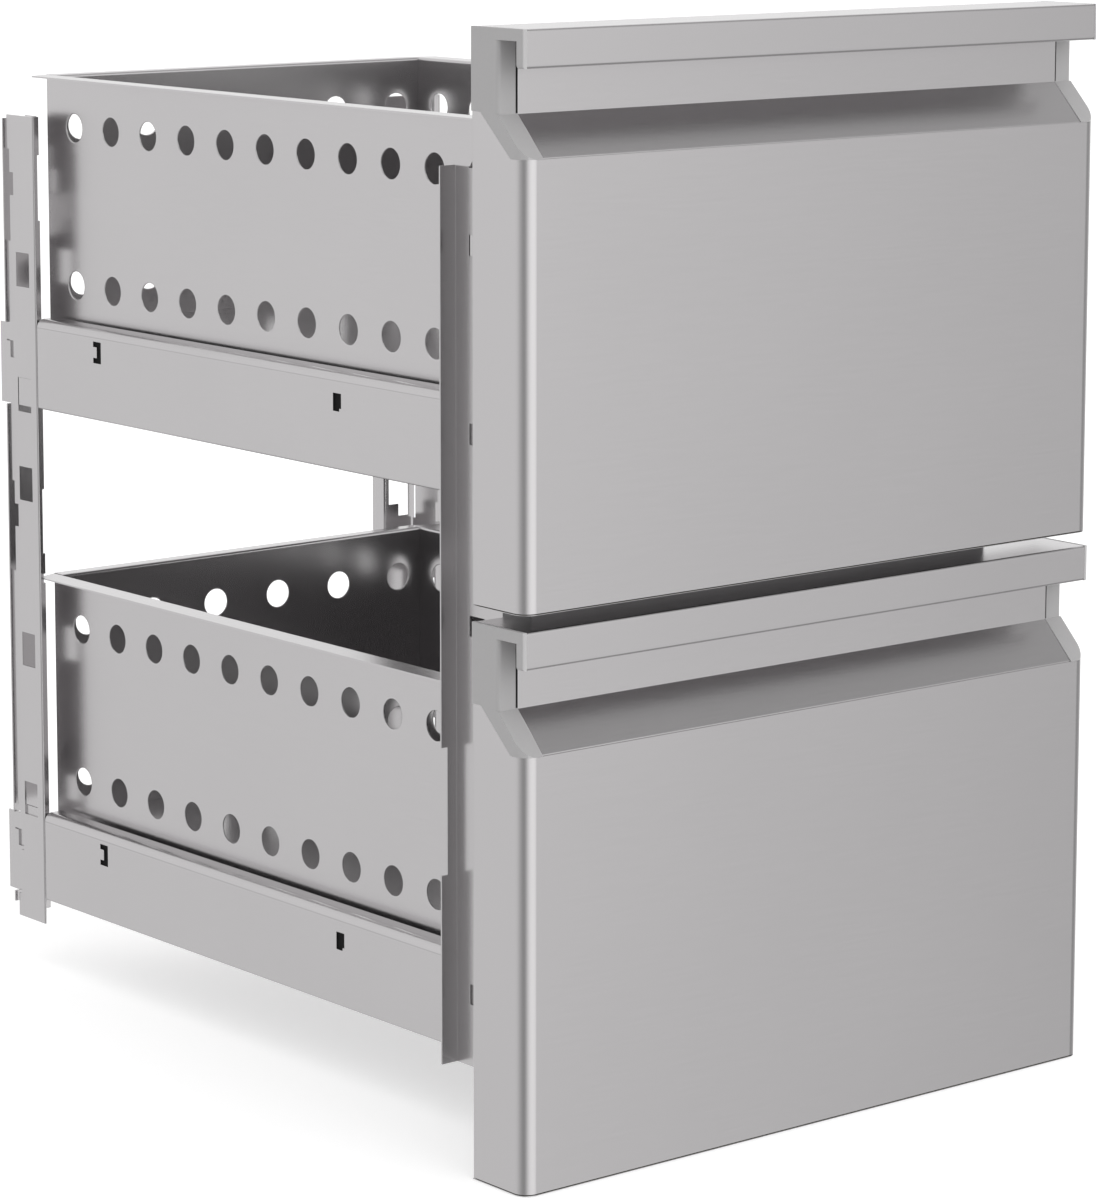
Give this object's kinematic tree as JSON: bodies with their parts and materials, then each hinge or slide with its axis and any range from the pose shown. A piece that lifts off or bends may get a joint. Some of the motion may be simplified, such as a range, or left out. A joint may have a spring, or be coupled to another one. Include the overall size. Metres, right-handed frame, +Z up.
{
  "type": "outdoor kitchen drawer unit",
  "caption": "Stacked stainless-steel drawer unit with insulated fronts, recessed lip grips and perforated boxes on full-extension slides, carried by slotted uprights.",
  "frame": {"origin": "centre of the overall bounding box in plan, at the lowest edge of the lower drawer front", "axes": "+Z up, front of the drawers faces -Y, drawers open along -Y, +X is the right-hand side seen from the front"},
  "size_m": [0.441, 0.618, 0.647],
  "materials": {
    "brushed_front": "brushed, grain along the width",
    "box_steel": "mill finish stainless sheet",
    "frame_steel": "mill finish stainless sheet",
    "slide_steel": "zinc-plated steel",
    "ball_steel": "polished",
    "fixings": "plain stainless",
    "cap_grey": "matt grey moulding",
    "bar_polymer": "matt dark",
    "gasket": "matt",
    "foam": "rigid foam"
  },
  "bodies": {
    "frame": {"rear_upright_left": "frame_steel", "rear_upright_right": "frame_steel", "wall_standard_left": "frame_steel", "wall_standard_right": "frame_steel", "front_upright_left": "frame_steel", "front_upright_right": "frame_steel", "front_crossbar": "bar_polymer", "rail_lower_left": "frame_steel", "hook_plate_lower_left": "frame_steel", "slide_outer_lower_left": "slide_steel", "rail_lower_right": "frame_steel", "hook_plate_lower_right": "frame_steel", "slide_outer_lower_right": "slide_steel", "rail_upper_left": "frame_steel", "hook_plate_upper_left": "frame_steel", "slide_outer_upper_left": "slide_steel", "rail_upper_right": "frame_steel", "hook_plate_upper_right": "frame_steel", "slide_outer_upper_right": "slide_steel"},
    "lower_outer_cages": {"outer_ball_cages_lower": "ball_steel"},
    "lower_slide_middles": {"slide_middle_lower_left": "slide_steel", "slide_middle_lower_right": "slide_steel"},
    "lower_inner_cages": {"inner_ball_cages_lower": "ball_steel"},
    "lower_drawer": {"front_skin_lower": "brushed_front", "grip_panel_lower": "brushed_front", "grip_lip_lower": "brushed_front", "grip_cap_lower_left": "cap_grey", "grip_cap_lower_right": "cap_grey", "front_back_plate_lower": "brushed_front", "front_insulation_lower": "foam", "door_gasket_lower": "gasket", "drawer_box_lower": "box_steel", "box_rear_wall_lower": "box_steel", "drawer_fixings_lower": "fixings", "slide_bracket_lower_left": "slide_steel", "slide_bracket_lower_right": "slide_steel", "slide_inner_lower_left": "slide_steel", "slide_inner_lower_right": "slide_steel"},
    "upper_outer_cages": {"outer_ball_cages_upper": "ball_steel"},
    "upper_slide_middles": {"slide_middle_upper_left": "slide_steel", "slide_middle_upper_right": "slide_steel"},
    "upper_inner_cages": {"inner_ball_cages_upper": "ball_steel"},
    "upper_drawer": {"front_skin_upper": "brushed_front", "grip_panel_upper": "brushed_front", "grip_lip_upper": "brushed_front", "grip_cap_upper_left": "cap_grey", "grip_cap_upper_right": "cap_grey", "front_back_plate_upper": "brushed_front", "front_insulation_upper": "foam", "door_gasket_upper": "gasket", "drawer_box_upper": "box_steel", "box_rear_wall_upper": "box_steel", "drawer_fixings_upper": "fixings", "slide_bracket_upper_left": "slide_steel", "slide_bracket_upper_right": "slide_steel", "slide_inner_upper_left": "slide_steel", "slide_inner_upper_right": "slide_steel"}
  },
  "joints": [
    {"name": "lower_drawer_slide", "type": "slide", "parent": "frame", "child": "lower_drawer", "axis": [0, -1, 0], "range_m": [0, 0.4]},
    {"name": "lower_outer_cages_slide", "type": "slide", "parent": "frame", "child": "lower_outer_cages", "axis": [0, -1, 0], "range_m": [0, 0.1]},
    {"name": "lower_slide_middles_slide", "type": "slide", "parent": "frame", "child": "lower_slide_middles", "axis": [0, -1, 0], "range_m": [0, 0.2]},
    {"name": "lower_inner_cages_slide", "type": "slide", "parent": "frame", "child": "lower_inner_cages", "axis": [0, -1, 0], "range_m": [0, 0.3]},
    {"name": "upper_drawer_slide", "type": "slide", "parent": "frame", "child": "upper_drawer", "axis": [0, -1, 0], "range_m": [0, 0.4]},
    {"name": "upper_outer_cages_slide", "type": "slide", "parent": "frame", "child": "upper_outer_cages", "axis": [0, -1, 0], "range_m": [0, 0.1]},
    {"name": "upper_slide_middles_slide", "type": "slide", "parent": "frame", "child": "upper_slide_middles", "axis": [0, -1, 0], "range_m": [0, 0.2]},
    {"name": "upper_inner_cages_slide", "type": "slide", "parent": "frame", "child": "upper_inner_cages", "axis": [0, -1, 0], "range_m": [0, 0.3]}
  ],
  "couplings": [
    {"joint": "lower_outer_cages_slide", "follows": "lower_drawer_slide", "ratio": 0.25},
    {"joint": "lower_slide_middles_slide", "follows": "lower_drawer_slide", "ratio": 0.5},
    {"joint": "lower_inner_cages_slide", "follows": "lower_drawer_slide", "ratio": 0.75},
    {"joint": "upper_outer_cages_slide", "follows": "upper_drawer_slide", "ratio": 0.25},
    {"joint": "upper_slide_middles_slide", "follows": "upper_drawer_slide", "ratio": 0.5},
    {"joint": "upper_inner_cages_slide", "follows": "upper_drawer_slide", "ratio": 0.75}
  ]
}
